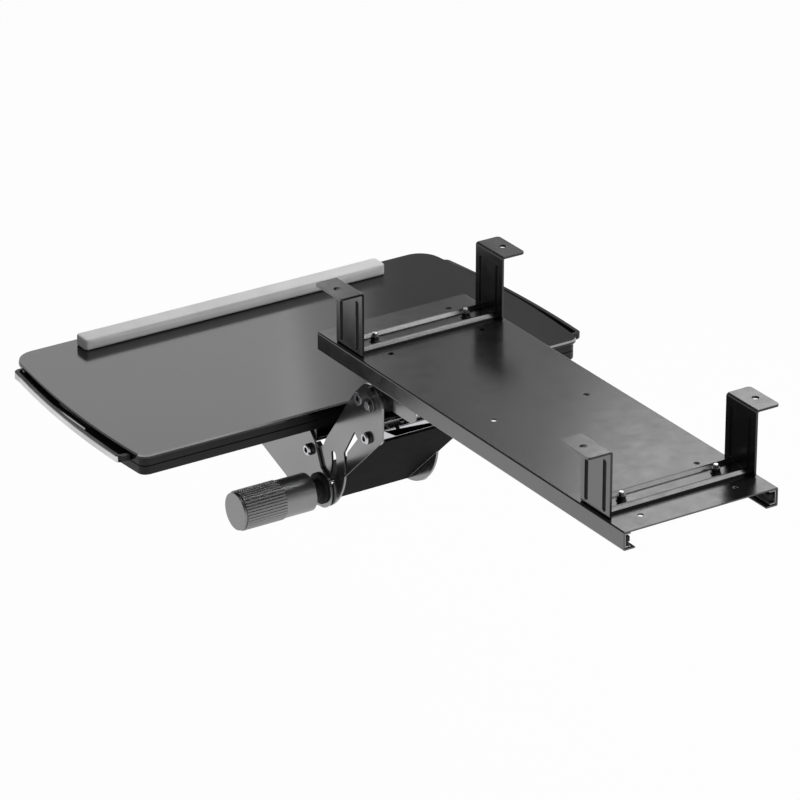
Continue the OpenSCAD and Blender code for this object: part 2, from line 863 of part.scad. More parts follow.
// Round head with a hex socket, its seat at x0, on the right side
module button_head(p, x0) {
    difference() {
        translate([x0, p[0], p[1]])
            rotate([0, 90, 0])
            union() {
                cylinder(d = button_d, h = button_h - 2);
                translate([0, 0, button_h - 2]) cylinder(d1 = button_d, d2 = button_d - 3, h = 2);
            }
        translate([x0 + button_h - 3, p[0], p[1]])
            rotate([0, 90, 0]) cylinder(d = button_d * 0.5, h = 4, $fn = 6);
    }
}

module arm_bolts() {
    color([0.75, 0.76, 0.78])
    both_sides() {
        button_head(spring_pos, cheek_x);
        bar_x(spring_pos, button_bolt_d, cheek_x - 24, cheek_x);
    }
}

// Lift springs: a helix about the spring tube, with a straight leg at each end

function coil_point(a) =
    [spring_x - coil_pitch * (a - 90) / 360,
        spring_pos[0] + coil_d / 2 * cos(a), spring_pos[1] + coil_d / 2 * sin(a)];

function wire_ring(c, a) =
    [for (k = [0:5]) c + wire_d / 2 * (cos(60 * k) * [0, cos(a), sin(a)] + sin(60 * k) * [1, 0, 0])];

coil_rings = 8 * coil_turns + 6;
coil_angles = [for (i = [0:coil_rings]) 90 + 45 * i];
coil_last = 90 + 45 * coil_rings;
leg_out = [0, spring_leg, 0];
leg_up = [0, 0, spring_rise];
spring_centres = concat([coil_point(90) + leg_out], [for (a = coil_angles) coil_point(a)],
    [coil_point(coil_last) + leg_up]);
spring_angles = concat([90], coil_angles, [coil_last]);

module lift_spring() {
    n = len(spring_centres);
    points = [for (i = [0:n - 1], p = wire_ring(spring_centres[i], spring_angles[i])) p];
    sides = [for (i = [0:n - 2], k = [0:5], half = [0, 1])
        half == 0 ? [6 * i + k, 6 * i + (k + 1) % 6, 6 * (i + 1) + (k + 1) % 6]
            : [6 * i + k, 6 * (i + 1) + (k + 1) % 6, 6 * (i + 1) + k]];
    caps = [for (k = [1:4], end = [0, 1])
        end == 0 ? [0, k + 1, k] : [6 * (n - 1), 6 * (n - 1) + k, 6 * (n - 1) + k + 1]];
    polyhedron(points, concat(sides, caps));
}

spring_gap = min([for (i = [1:len(spring_centres) - 8], j = [i + 6:len(spring_centres) - 2])
    norm(spring_centres[i] - spring_centres[j])]) - wire_d;
echo("least gap between the turns of a lift spring, mm", spring_gap);

module lift_spring_right() {
    color([0.12, 0.12, 0.12]) lift_spring();
}

module lift_spring_left() {
    color([0.12, 0.12, 0.12]) mirror([1, 0, 0]) lift_spring();
}

// Light plate on the web's top, notched where the springs' legs pass
module spring_plate() {
    inner = cheek_x - arm_t;
    foot = web_point(arm_back - 4) - arm_t / cos(web_angle) * [0, -1];
    foot_back = web_point(arm_back - 1) - arm_t / cos(web_angle) * [0, -1];
    notch = max(foot_back[1] + 0.8, spring_pos[1] + coil_d / 2 - wire_d);
    top = notch + 2 * wire_d + 5;
    color([0.75, 0.75, 0.76])
    difference() {
        side_plate(-inner, 2 * inner)
            polygon([foot, foot_back, [foot_back[0], top], [foot[0], top]]);
        for (s = [-1, 1])
            translate([s * spring_x - wire_d, foot[0] - 1, notch])
                cube([2 * wire_d, 5, 30]);
    }
}

// Tilt head

module head_outline() {
    polygon(concat(
        [[tilt[0] - 5, mount_top], tilt + [11, head_rise - 1], rod + [1, 28.5]],
        arc_points(rod, clamp_lobe_r, 60, -90, 14),
        [head_heel, head_knee, tilt + [-head_l, -16.5], [tilt[0] - head_l - 11, mount_top]]));
}

// Cross web that closes the heel of the bracket, clear of the arm's sector
module head_web() {
    along = (head_knee - head_heel) / norm(head_knee - head_heel);
    inward = head_t * [along[1], -along[0]] * -1;
    side_plate(-head_in - eps, 2 * (head_in + eps))
        polygon([head_heel, head_knee, head_knee - inward, head_heel - inward]);
}

module tilt_bracket() {
    head_back = tilt[0] + 7;
    head_front = tilt[0] - head_l - 11;
    color([0.55, 0.56, 0.57])
    difference() {
        union() {
            both_sides() side_plate(head_in, head_t) head_outline();
            translate([-head_in - eps, head_front, head_top - head_t])
                cube([2 * (head_in + eps), head_back - head_front, head_t]);
            head_web();
        }
        bar_x(tilt, button_bolt_d + 2 * run_fit, -head_out - 1, head_out + 1);
        bar_x(rod, rod_d + 2 * run_fit, -head_out - 1, head_out + 1);
        at_mount_screws() cylinder(d = mount_screw_d + 2 * run_fit, h = 40, center = true);
    }
}

module at_mount_screws() {
    ys = [mount_back - 0.265 * mount_l, mount_front + 0.176 * mount_l];
    for (x = [-mount_screw_x, mount_screw_x], y = ys)
        translate([x, y, head_top]) children();
}

module mount_frame() {
    half = mount_w / 2;
    hollow_w = half - 1.5 * mount_t;
    color([0.12, 0.12, 0.13])
    difference() {
        translate([-half, mount_front, head_top]) cube([mount_w, mount_l, mount_h]);
        both_sides()
            translate([mount_t / 2, mount_front - 1, head_top + mount_t])
                cube([hollow_w, mount_l + 2, mount_h - 2 * mount_t]);
        at_mount_screws() cylinder(d = mount_screw_d + 2 * run_fit, h = 2 * mount_t + 2, center = true);
        at_tray_screws() cylinder(d = mount_screw_d + 2 * run_fit, h = 2 * mount_t + 2, center = true);
    }
}

module at_tray_screws() {
    ys = [mount_back - 0.147 * mount_l, mount_front + 0.147 * mount_l];
    for (x = [-tray_screw_x, tray_screw_x], y = ys)
        translate([x, y, mount_top]) children();
}

module mount_screws() {
    color([0.75, 0.75, 0.76])
    at_mount_screws() {
        translate([0, 0, -head_t]) cylinder(d = mount_screw_d, h = head_t + mount_t + 3);
        translate([0, 0, -head_t - mount_screw_d * 0.6])
            cylinder(d1 = mount_screw_d * 1.3, d2 = mount_screw_d * 2, h = mount_screw_d * 0.6);
    }
}

module tray_screws() {
    color([0.75, 0.75, 0.76])
    at_tray_screws() {
        translate([0, 0, -mount_t]) cylinder(d = mount_screw_d, h = mount_t + 8);
        translate([0, 0, -mount_t - mount_screw_d / 2])
            cylinder(d1 = mount_screw_d * 1.3, d2 = mount_screw_d * 2, h = mount_screw_d / 2);
    }
}

module tilt_bolts() {
    color([0.75, 0.76, 0.78])
    both_sides() {
        button_head(tilt, head_out);
        bar_x(tilt, button_bolt_d, cheek_x - arm_t - nut_gap - 9, head_out);
    }
}

module tilt_nuts() {
    color([0.2, 0.2, 0.2])
    both_sides()
        difference() {
            translate([cheek_x - arm_t - nut_gap - 8, tilt[0], tilt[1]])
                rotate([0, 90, 0]) cylinder(d = button_bolt_d * 1.85, h = 8, $fn = 6);
            bar_x(tilt, button_bolt_d + 2 * run_fit, 0, cheek_x);
        }
}

module tilt_washers() {
    color([0.85, 0.85, 0.8])
    both_sides()
        difference() {
            bar_x(tilt, button_bolt_d * 2.4, cheek_x, head_in);
            bar_x(tilt, button_bolt_d + 2 * run_fit, cheek_x - 1, head_in + 1);
        }
}

// Clamp

module clamp_rod() {
    color([0.6, 0.61, 0.63])
    bar_x(rod, rod_d, -head_out - clamp_nut_t - 5, insert_end - 2);
}

module clamp_nut() {
    color([0.2, 0.2, 0.2])
    difference() {
        translate([-head_out - 2 - clamp_nut_t, rod[0], rod[1]])
            rotate([0, 90, 0]) cylinder(d = rod_d * 1.9, h = clamp_nut_t, $fn = 6);
        bar_x(rod, rod_d + 2 * run_fit, -head_out - 20, 0);
    }
}

module clamp_washer() {
    color([0.15, 0.15, 0.15])
    difference() {
        union() {
            bar_x(rod, rod_d * 2.6, -head_out - 2, -head_out);
            bar_x(rod, rod_d * 4.4, head_out, head_out + 3);
            bar_x(rod, rod_d * 2.8, head_out + 3, knob_x - soft_gap);
        }
        bar_x(rod, rod_d + 2 * run_fit, -head_out - 20, knob_x);
    }
}

// Knob

module grip_outline() {
    flute_r = knob_d / 2 * PI / flutes * 0.62;
    difference() {
        circle(d = knob_d);
        for (i = [0:flutes - 1])
            rotate(360 * i / flutes)
                translate([knob_d / 2 + flute_r * 0.35, 0]) circle(r = flute_r, $fn = 16);
    }
}

module knob_grip() {
    collar_x = knob_x + knob_taper;
    grip_x = collar_x + collar_l;
    collar_d = knob_d - 2;
    color([0.1, 0.1, 0.11])
    difference() {
        translate([0, rod[0], rod[1]])
            rotate([90, 0, 90])
            union() {
                translate([0, 0, knob_x])
                    cylinder(d1 = collar_d - 2 * knob_taper, d2 = collar_d, h = knob_taper);
                translate([0, 0, collar_x]) cylinder(d = collar_d, h = collar_l);
                translate([0, 0, grip_x]) linear_extrude(grip_l - cap_t) grip_outline();
            }
        bar_x(rod, insert_d + 2 * run_fit, knob_x - 1, insert_end);
    }
}

module knob_cap() {
    color([0.14, 0.14, 0.15])
    bar_x(rod, knob_d - 3, knob_end - cap_t, knob_end);
}

module knob_insert() {
    color([0.75, 0.62, 0.3])
    difference() {
        bar_x(rod, insert_d, knob_x, insert_end);
        bar_x(rod, rod_d + 2 * run_fit, knob_x - 1, insert_end + 1);
    }
}

// Tray

// Half width of the board at share t of its depth, from the back edge
function side_x(t) = tray_back_w / 2 + (tray_front_w - tray_back_w) / 2 * t + 4 * tray_bow * t * (1 - t);

// Angle of the side's outward normal at share t of the depth
function side_normal(t) = atan(((tray_front_w - tray_back_w) / 2 + 4 * tray_bow * (1 - 2 * t)) / tray_depth);

// Right half of the tray's outline from the back edge to the user's edge, drawn in by inset
function right_side(inset) =
    let (rb = max(back_corner - inset, 2), rf = max(front_corner - inset, 2))
    let (yb = tray_back - inset - rb, yf = tray_edge + inset + rf)
    let (ab = side_normal(0), af = side_normal(1))
    let (tb = (tray_back - yb - rb * sin(ab)) / tray_depth)
    let (tf = (tray_back - yf - rf * sin(af)) / tray_depth)
    let (xb = side_x(tb) - inset - rb * cos(ab), xf = side_x(tf) - inset - rf * cos(af))
    concat(
        arc_points([xb, yb], rb, 90, ab, 6),
        [for (i = [1:11]) let (t = tb + (tf - tb) * i / 12) [side_x(t) - inset, tray_back - t * tray_depth]],
        arc_points([xf, yf], rf, af, -90, 8));

module tray_outline(inset) {
    right = right_side(inset);
    n = len(right);
    polygon(concat(right, [for (i = [n - 1:-1:0]) [-right[i][0], right[i][1]]]));
}

module tray_layer(z, t, inset) {
    translate([0, 0, z]) linear_extrude(t) tray_outline(inset);
}

module tray_board() {
    color([0.2, 0.2, 0.21]) tray_layer(board_bot, board_t, 0);
}

module tray_frame() {
    color([0.15, 0.15, 0.16]) tray_layer(frame_bot, frame_t, frame_inset);
}

module tray_base() {
    columns = 4;
    rows = 6;
    cell_x = (side_x(1) - 14 - mount_w / 2 - 12) / columns;
    cell_y = (tray_depth - 40) / rows;
    color([0.12, 0.12, 0.13])
    difference() {
        tray_layer(mount_top, base_t, frame_inset);
        both_sides()
            for (i = [0:columns - 1], j = [0:rows - 1])
                translate([mount_w / 2 + 12 + i * cell_x, tray_edge + 20 + j * cell_y, mount_top - 1])
                    cube([cell_x - rib_t, cell_y - rib_t, base_t - 2]);
        at_tray_screws() cylinder(d = mount_screw_d + 2 * run_fit, h = 18, center = true);
    }
}

module rail_disc(inset) {
    translate(rail_c) circle(r = rail_r - inset, $fn = 360);
}

// Direction from the arc's centre to the end whose rounding is centred at y
function rail_dir(y) =
    let (a = asin((y - rail_c[1]) / (rail_r - rail_end_r)))
    [cos(a), sin(a)];

// Centre of the rounding at that end
function rail_end_c(y) = rail_c + (rail_r - rail_end_r) * rail_dir(y);

// Field between the two ends of the rail's arc
module rail_field() {
    y0 = rail_back - rail_l;
    y1 = rail_back;
    x_in = tray_front_w / 2 - 20;
    polygon([[x_in, rail_end_c(y0)[1]], rail_end_c(y0),
        rail_end_c(y0) + 3 * rail_end_r * rail_dir(y0),
        rail_end_c(y1) + 3 * rail_end_r * rail_dir(y1),
        rail_end_c(y1), [x_in, rail_end_c(y1)[1]]]);
}

// Rounded end that runs in to the tray's side, towards the front or the back by s
module rail_end(y, s) {
    u = rail_dir(y);
    c = rail_end_c(y);
    reach = c[0] - tray_front_w / 2 + 10;
    translate(c) {
        intersection() {
            circle(r = rail_end_r);
            polygon([[0, 0], 3 * rail_end_r * u, 3 * rail_end_r * [1, s], [0, 3 * rail_end_r * s]]);
        }
        translate([-reach, s > 0 ? 0 : -rail_end_r]) square([reach + eps, rail_end_r]);
    }
}

module rail_end_hollow(y, s) {
    c = rail_end_c(y);
    r = rail_end_r - rail_w;
    reach = c[0] - tray_front_w / 2 + 12;
    translate(c) {
        circle(r = r);
        translate([-reach, -r]) square([reach, 2 * r]);
    }
}

// Outline of the whole rail from the tray's side out
module rail_area() {
    intersection() {
        rail_disc(0);
        rail_field();
    }
    rail_end(rail_back, 1);
    rail_end(rail_back - rail_l, -1);
}

module side_rail() {
    rail_bot = rail_top - rail_h;
    translate([0, 0, rail_bot])
    linear_extrude(rail_h)
    difference() {
        rail_area();
        intersection() {
            rail_disc(rail_w);
            rail_field();
        }
        rail_end_hollow(rail_back, 1);
        rail_end_hollow(rail_back - rail_l, -1);
        tray_outline(-soft_gap);
    }
    translate([0, 0, rail_bot])
    linear_extrude(rail_floor_t)
    difference() {
        rail_area();
        tray_outline(frame_inset);
        rail_slot();
    }
}

module rail_slot() {
    slot_x = (side_x(0.5) + rail_span / 2 - rail_w) / 2 - 1;
    slot_y = rail_back - rail_l / 2;
    for (s = [-1, 1]) translate([slot_x, slot_y + s * gutter_slot_l / 2]) circle(d = 5);
    translate([slot_x - 2.5, slot_y - gutter_slot_l / 2]) square([5, gutter_slot_l]);
}

module side_rail_right() {
    color([0.6, 0.6, 0.62]) side_rail();
}

module side_rail_left() {
    color([0.6, 0.6, 0.62]) mirror([1, 0, 0]) side_rail();
}

// Wrist pad: crowned top, drawn-in lower sides, round ends

pad_sides = 24;
pad_stations = 40;

// How far a rounding of radius r pulls in at distance d from an end
function pull_in(d, r) = d >= r ? 0 : r - sqrt(r * r - (r - d) * (r - d));

function pad_ring(x) =
    let (d = pad_l / 2 - abs(x))
    let (half_w = pad_w / 2 - pull_in(d, pad_round) * 0.9)
    let (half_h = 0.58 * pad_h - pull_in(d, pad_edge_r) * 0.9)
    [for (k = [0:pad_sides - 1])
        let (a = 360 * k / pad_sides)
        let (sy = sign(cos(a)) * pow(abs(cos(a)), 0.2), sz = sign(sin(a)) * pow(abs(sin(a)), 0.22))
        [x, pad_y + half_w * sy, tray_top + max(0, 0.42 * pad_h + half_h * sz)]];

module wrist_pad() {
    ends = [0, 0.3, 1, 2.2, 3.6];
    inner = [for (i = [0:pad_stations - 9])
        -pad_l / 2 + pad_round + (pad_l - 2 * pad_round) * i / (pad_stations - 9)];
    xs = concat([for (d = ends) -pad_l / 2 + d], inner, [for (i = [4:-1:0]) pad_l / 2 - ends[i]]);
    n = len(xs);
    m = pad_sides;
    points = [for (x = xs, p = pad_ring(x)) p];
    sides = [for (i = [0:n - 2], k = [0:m - 1], half = [0, 1])
        half == 0 ? [m * i + k, m * i + (k + 1) % m, m * (i + 1) + (k + 1) % m]
            : [m * i + k, m * (i + 1) + (k + 1) % m, m * (i + 1) + k]];
    caps = [for (k = [1:m - 2], end = [0, 1])
        end == 0 ? [0, k + 1, k] : [m * (n - 1), m * (n - 1) + k, m * (n - 1) + k + 1]];
    color([0.6, 0.6, 0.62]) polyhedron(points, concat(sides, caps));
}

// Draw the chosen node
track_plate();
front_hanger();
rear_hanger();
hanger_bolts();
hanger_nuts();
slide_outer_right();
slide_outer_left();
slide_rivets();
front_bumpers();
rear_bumpers();
slide_inner_right();
slide_inner_left();
carriage_plate();
carriage_rivets();
pivot_bracket();
bracket_bolts();
pivot_shaft();
pivot_clips();
stop_bolts();
ball_cage_right();
ball_cage_left();
slide_balls();
lift_arm();
pivot_bushings();
stop_tube();
spring_tube();
arm_bolts();
lift_spring_right();
lift_spring_left();
spring_plate();
tilt_bracket();
mount_frame();
tilt_bolts();
tilt_nuts();
tilt_washers();
clamp_rod();
clamp_nut();
clamp_washer();
mount_screws();
tray_screws();
tray_base();
tray_frame();
tray_board();
side_rail_right();
side_rail_left();
wrist_pad();
knob_grip();
knob_cap();
knob_insert();
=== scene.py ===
"""Looks of a keyboard tray that hangs on a sliding track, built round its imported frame.

Lengths are metres in the frame's own axes, and millimetres where a name or comment says mm.
"""

import json
import math

import bmesh
import bpy
from mathutils import Matrix, Vector

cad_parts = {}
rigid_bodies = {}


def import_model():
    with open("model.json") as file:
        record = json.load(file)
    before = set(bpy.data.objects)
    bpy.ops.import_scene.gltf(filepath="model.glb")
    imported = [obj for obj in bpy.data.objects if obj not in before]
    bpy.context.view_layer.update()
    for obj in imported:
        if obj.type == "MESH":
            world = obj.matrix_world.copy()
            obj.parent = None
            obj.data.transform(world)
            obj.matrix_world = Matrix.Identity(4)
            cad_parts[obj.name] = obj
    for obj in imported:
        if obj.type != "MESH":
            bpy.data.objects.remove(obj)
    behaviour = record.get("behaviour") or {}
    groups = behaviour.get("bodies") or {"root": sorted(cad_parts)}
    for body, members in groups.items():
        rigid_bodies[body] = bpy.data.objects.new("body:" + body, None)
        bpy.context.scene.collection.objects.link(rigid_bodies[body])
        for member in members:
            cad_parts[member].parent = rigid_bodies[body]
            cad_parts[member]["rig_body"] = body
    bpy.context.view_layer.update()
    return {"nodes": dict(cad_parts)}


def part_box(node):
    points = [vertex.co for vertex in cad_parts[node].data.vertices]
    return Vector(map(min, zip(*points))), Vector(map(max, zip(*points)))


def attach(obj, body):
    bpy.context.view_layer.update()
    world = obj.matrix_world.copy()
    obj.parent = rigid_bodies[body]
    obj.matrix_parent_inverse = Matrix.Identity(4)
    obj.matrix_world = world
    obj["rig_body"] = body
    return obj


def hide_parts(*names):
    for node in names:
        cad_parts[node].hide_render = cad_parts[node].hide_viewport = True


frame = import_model()

bl_info = {
    "name": "Keyboard tray builder",
    "version": (1, 0, 0),
    "blender": (4, 5, 0),
    "location": "3D View > Sidebar > Tray",
    "description": "Builds a keyboard tray on a sliding track, its finishes and its studio",
    "category": "Add Mesh",
}

MM = 0.001
FINISH = {}


# Sizes and colours that a user would change

class TrayFinish(bpy.types.PropertyGroup):
    coat: bpy.props.FloatVectorProperty(
        name="Black coat", description="Colour of the powder coat on track, hangers and frames",
        subtype="COLOR", default=(0.006, 0.006, 0.0064), min=0, max=1)
    arm_coat: bpy.props.FloatVectorProperty(
        name="Arm coat", description="Colour of the satin coat on the arm and its two brackets",
        subtype="COLOR", default=(0.27, 0.27, 0.275), min=0, max=1)
    knob: bpy.props.FloatVectorProperty(
        name="Knob", description="Colour of the clamp knob's plastic",
        subtype="COLOR", default=(0.27, 0.27, 0.275), min=0, max=1)
    board: bpy.props.FloatVectorProperty(
        name="Board", description="Colour of the glossy tray board",
        subtype="COLOR", default=(0.005, 0.005, 0.0053), min=0, max=1)
    moulding: bpy.props.FloatVectorProperty(
        name="Moulding", description="Colour of the black moulded plastic",
        subtype="COLOR", default=(0.014, 0.014, 0.0145), min=0, max=1)
    pad: bpy.props.FloatVectorProperty(
        name="Pad", description="Colour of the wrist pad's cover",
        subtype="COLOR", default=(0.72, 0.72, 0.72), min=0, max=1)
    # The rails are black; this light colour on their outer faces is a painted sheen
    rail: bpy.props.FloatVectorProperty(
        name="Rail", description="Colour of the side rails' outer faces",
        subtype="COLOR", default=(0.66, 0.66, 0.665), min=0, max=1)
    zinc: bpy.props.FloatVectorProperty(
        name="Zinc", description="Colour of the zinc on bolts, rivets and shafts",
        subtype="COLOR", default=(0.62, 0.62, 0.64), min=0, max=1)


class TraySizes(bpy.types.PropertyGroup):
    sheet_round: bpy.props.FloatProperty(
        name="Sheet edge", description="Rounding of a cut sheet edge",
        default=0.4 * MM, min=0.1 * MM, max=1 * MM, subtype="DISTANCE", unit="LENGTH")
    mould_round: bpy.props.FloatProperty(
        name="Moulded edge", description="Rounding of a moulded plastic edge",
        default=1.2 * MM, min=0.1 * MM, max=2 * MM, subtype="DISTANCE", unit="LENGTH")
    small_round: bpy.props.FloatProperty(
        name="Fastener edge", description="Rounding of a bolt or nut edge",
        default=0.25 * MM, min=0.05 * MM, max=0.6 * MM, subtype="DISTANCE", unit="LENGTH")
    board_round: bpy.props.FloatProperty(
        name="Board edge", description="Width of the board's chamfers",
        default=0.8 * MM, min=0.2 * MM, max=2.5 * MM, subtype="DISTANCE", unit="LENGTH")
    rail_round: bpy.props.FloatProperty(
        name="Rail edge", description="Width of the side rails' chamfers",
        default=0.7 * MM, min=0.1 * MM, max=1.2 * MM, subtype="DISTANCE", unit="LENGTH")
    spring_wire: bpy.props.FloatProperty(
        name="Spring wire", description="Diameter of the springs' wire",
        default=2.6 * MM, min=2 * MM, max=3 * MM, subtype="DISTANCE", unit="LENGTH")
    spring_radius: bpy.props.FloatProperty(
        name="Spring radius", description="Radius from the springs' axis to the wire's middle",
        default=10.5 * MM, min=9.5 * MM, max=11 * MM, subtype="DISTANCE", unit="LENGTH")
    pad_swell: bpy.props.FloatProperty(
        name="Pad swell", description="Most that the pad's cover swells when it is filled",
        default=0.4 * MM, min=0, max=2 * MM, subtype="DISTANCE", unit="LENGTH")


class TrayStudio(bpy.types.PropertyGroup):
    camera_place: bpy.props.FloatVectorProperty(
        name="Camera", description="Place of the camera", subtype="TRANSLATION", unit="LENGTH",
        default=(2.99195, 4.35805, 2.39341))
    camera_back: bpy.props.FloatVectorProperty(
        name="View", description="Direction from the object back to the camera",
        subtype="DIRECTION", default=(0.48977, 0.76234, 0.42304))
    lens: bpy.props.FloatProperty(
        name="Lens", description="Focal length on a 36 mm sensor",
        default=228.16, min=50, max=400)
    floor_drop: bpy.props.FloatProperty(
        name="Floor", description="Distance of the floor below the desk face",
        default=0.72, min=0.5, max=1.1, subtype="DISTANCE", unit="LENGTH")
    fill_light: bpy.props.FloatProperty(
        name="Fill light", description="Strength of the even light from all round",
        subtype="FACTOR", default=0.22, min=0, max=1)


# Meshes

SHARP = math.radians(32)
FLAT = math.radians(0.6)
MERGE_WITHIN = 0.002 * MM
ALONG_AXIS = 0.999
FOLD_WITHIN_MM = 0.06
FOLD_SEGMENTS = 5


def node_mesh(node):
    """A merged copy of a frame node's mesh, its flat faces whole."""
    bm = bmesh.new()
    bm.from_mesh(frame["nodes"][node].data)
    bmesh.ops.remove_doubles(bm, verts=bm.verts, dist=MERGE_WITHIN)
    bmesh.ops.dissolve_degenerate(bm, dist=MERGE_WITHIN, edges=bm.edges)
    bmesh.ops.dissolve_limit(
        bm, angle_limit=FLAT, verts=bm.verts, edges=bm.edges,
        use_dissolve_boundaries=False, delimit=set())
    return bm


def runs_along(edge, axis):
    span = edge.verts[1].co - edge.verts[0].co
    return abs(span[axis]) > ALONG_AXIS * span.length


def round_edges(bm, edges, width, segments=2):
    if edges:
        bmesh.ops.bevel(
            bm, geom=edges, offset=width, offset_type="OFFSET", affect="EDGES",
            segments=segments, profile=0.5, material=-1, clamp_overlap=False, loop_slide=True)


def round_folds(bm, folds):
    """Rounds folded edges, and their mirror images in the first of the two other axes.

    A fold is its axis, its two other coordinates in mm, and its radius in mm.
    """
    for name, first, second, radius in folds:
        axis = "XYZ".index(name)
        across, upward = [i for i in range(3) if i != axis]
        found = []
        for edge in bm.edges:
            middle = (edge.verts[0].co + edge.verts[1].co) / 2 / MM
            near = (abs(abs(middle[across]) - first) < FOLD_WITHIN_MM
                    and abs(middle[upward] - second) < FOLD_WITHIN_MM)
            if near and edge.is_manifold and runs_along(edge, axis):
                found.append(edge)
        if not found:
            raise RuntimeError(f"no edge along {name} at {first}, {second}")
        round_edges(bm, found, radius * MM, FOLD_SEGMENTS)


def round_sharp(bm, width, segments):
    """Rounds every edge that is still sharp."""
    sharp = [e for e in bm.edges if e.is_manifold and e.calc_face_angle() > SHARP]
    round_edges(bm, sharp, width, segments)


def make_piece(bm, name, node, looks, pick=None):
    """A finished piece from a bmesh, which stands for a node and rides where the node does.

    looks names its finishes. Where there are several, pick gives a face's place in that list
    from the face's middle in mm and its normal.
    """
    mesh = bpy.data.meshes.new(name)
    bm.to_mesh(mesh)
    bm.free()
    mesh.shade_smooth()
    mesh.set_sharp_from_angle(angle=SHARP)
    for look in looks.split():
        mesh.materials.append(FINISH[look])
    if pick:
        for face in mesh.polygons:
            face.material_index = pick(face.center / MM, face.normal)
    piece = bpy.data.objects.new(name, mesh)
    bpy.context.scene.collection.objects.link(piece)
    even = piece.modifiers.new("even shading", "WEIGHTED_NORMAL")
    even.keep_sharp = True
    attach(piece, frame["nodes"][node]["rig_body"])
    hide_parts(node)
    return piece


def dress_node(node, width, looks, folds=(), segments=2, pick=None):
    """Stands a copy of a node in for it, with its folds and sharp edges rounded."""
    bm = node_mesh(node)
    round_folds(bm, folds)
    round_sharp(bm, width, segments)
    return make_piece(bm, node + "_rounded", node, looks, pick)


def dress_nodes(width, **looks):
    """Dresses each node in its own finish, all with edges rounded to one width."""
    for node, look in looks.items():
        dress_node(node, width, look)


# Finishes, with the scale of their noise in cells a metre

CLOUD_CELLS = 14
WEAR_CELLS = 55
RIPPLE_CELLS = 120
NOISE_LOW, NOISE_HIGH = 0.3, 0.7


def add(tree, kind, **settings):
    made = tree.nodes.new(kind)
    for key, value in settings.items():
        setattr(made, key, value)
    return made


def feed(tree, source, node, socket):
    tree.links.new(source, node.inputs[socket])


def spread(tree, source, low, high, start=NOISE_LOW, stop=NOISE_HIGH):
    """Maps values from start to stop onto those from low to high."""
    made = add(tree, "ShaderNodeMapRange")
    feed(tree, source, made, "Value")
    made.inputs["From Min"].default_value = start
    made.inputs["From Max"].default_value = stop
    made.inputs["To Min"].default_value = low
    made.inputs["To Max"].default_value = high
    return made.outputs["Result"]


def noise(tree, cells, detail=3, stretch=None):
    """Noise on the piece's own coordinates, with so many cells a metre."""
    place = add(tree, "ShaderNodeTexCoord")
    source = place.outputs["Object"]
    if stretch:
        turn = add(tree, "ShaderNodeMapping")
        turn.inputs["Scale"].default_value = stretch
        feed(tree, source, turn, "Vector")
        source = turn.outputs["Vector"]
    made = add(tree, "ShaderNodeTexNoise")
    made.inputs["Scale"].default_value = cells
    made.inputs["Detail"].default_value = detail
    feed(tree, source, made, "Vector")
    return made.outputs["Fac"]


def tint(tree, source, colour, dark, light):
    """Colour that drifts between a darker and a lighter shade of itself."""
    ramp = add(tree, "ShaderNodeValToRGB")
    for stop, place, shade in zip(ramp.color_ramp.elements, (NOISE_LOW, NOISE_HIGH), (dark, light)):
        stop.position = place
        stop.color = (*(c * shade for c in colour), 1)
    feed(tree, source, ramp, "Fac")
    return ramp.outputs["Color"]


def bump(tree, source, strength, distance, under=None):
    made = add(tree, "ShaderNodeBump")
    made.inputs["Strength"].default_value = strength
    made.inputs["Distance"].default_value = distance
    feed(tree, source, made, "Height")
    if under:
        feed(tree, under, made, "Normal")
    return made.outputs["Normal"]


def finish(name, colour, rough, grain, depth, metal=0.0, gloss=0.5, drift=0.15, brushed=None,
           ior=1.5):
    """Procedural finish: drifting colour, uneven roughness and a fine grain.

    rough is the least and the most roughness. grain and depth are the grain's cells a metre
    and its height, drift is the colour's change either way, and brushed stretches the grain.
    """
    material = bpy.data.materials.new(name)
    material.use_nodes = True
    tree = material.node_tree
    shader = tree.nodes["Principled BSDF"]
    shader.inputs["Metallic"].default_value = metal
    shader.inputs["Specular IOR Level"].default_value = gloss
    shader.inputs["IOR"].default_value = ior
    cloudy = noise(tree, CLOUD_CELLS, 5)
    feed(tree, tint(tree, cloudy, colour, 1 - drift, 1 + drift), shader, "Base Color")
    worn = noise(tree, WEAR_CELLS, 4, brushed)
    feed(tree, spread(tree, worn, *rough), shader, "Roughness")
    grainy = bump(tree, noise(tree, grain, 2, brushed), 0.5, depth)
    rippled = bump(tree, noise(tree, RIPPLE_CELLS, 2), 0.25, depth * 2, grainy)
    feed(tree, rippled, shader, "Normal")
    return material


